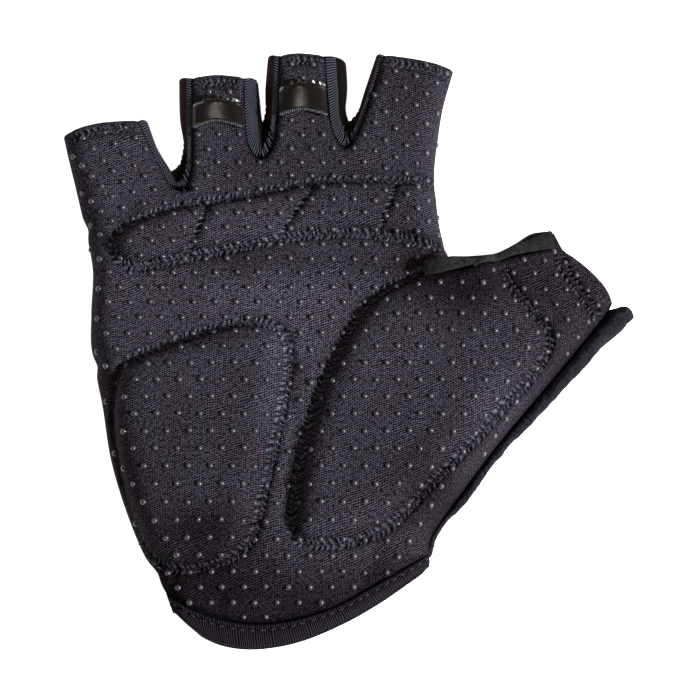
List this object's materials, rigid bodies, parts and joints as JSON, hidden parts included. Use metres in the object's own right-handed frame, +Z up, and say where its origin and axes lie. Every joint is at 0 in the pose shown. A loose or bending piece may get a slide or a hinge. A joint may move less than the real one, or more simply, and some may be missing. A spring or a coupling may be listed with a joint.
{
  "type": "short-finger glove",
  "caption": "Short-finger sport glove for the right hand, lying palm up: padded palm cloth with grip dots, knit back, side strips, thumb gusset, pull tabs and a ribbed wrist binding.",
  "frame": {"origin": "on the surface that the glove lies on, under the middle of its outline", "axes": "+X to the thumb's side, +Y to the finger ends, +Z up out of the palm"},
  "size_m": [0.1447, 0.1536, 0.0207],
  "materials": {
    "grip_cloth": "matt twill cloth with raised grip dots",
    "knit_back": "matt stretch knit",
    "ribbed_cloth": "fine ribbed cloth with a slight sheen",
    "suede": "brushed, matt",
    "fleece": "soft pile",
    "binding": "ribbed elastic tape",
    "foam": "closed-cell foam",
    "gloss_tab": "smooth coated cloth",
    "satin": "ribbed satin piping",
    "grip_dots": "glossy silicone",
    "thread": "twisted sewing thread"
  },
  "bodies": {
    "root": {"palm_panel": "grip_cloth", "back_panel": "knit_back", "thumb_back_panel": "fleece", "thumb_gusset": "suede", "wrist_binding": "binding", "fourchette_little_ring": "ribbed_cloth", "fourchette_ring_middle": "ribbed_cloth", "fourchette_middle_index": "ribbed_cloth", "outer_heel_pad": "foam", "thumb_pad": "foam", "knuckle_pad_1": "foam", "knuckle_pad_2": "foam", "knuckle_pad_3": "foam", "knuckle_pad_4": "foam", "pull_tab_ring": "gloss_tab", "pull_tab_middle": "gloss_tab", "tab_edge_ring": "satin", "tab_edge_middle": "satin"}
  },
  "joints": []
}
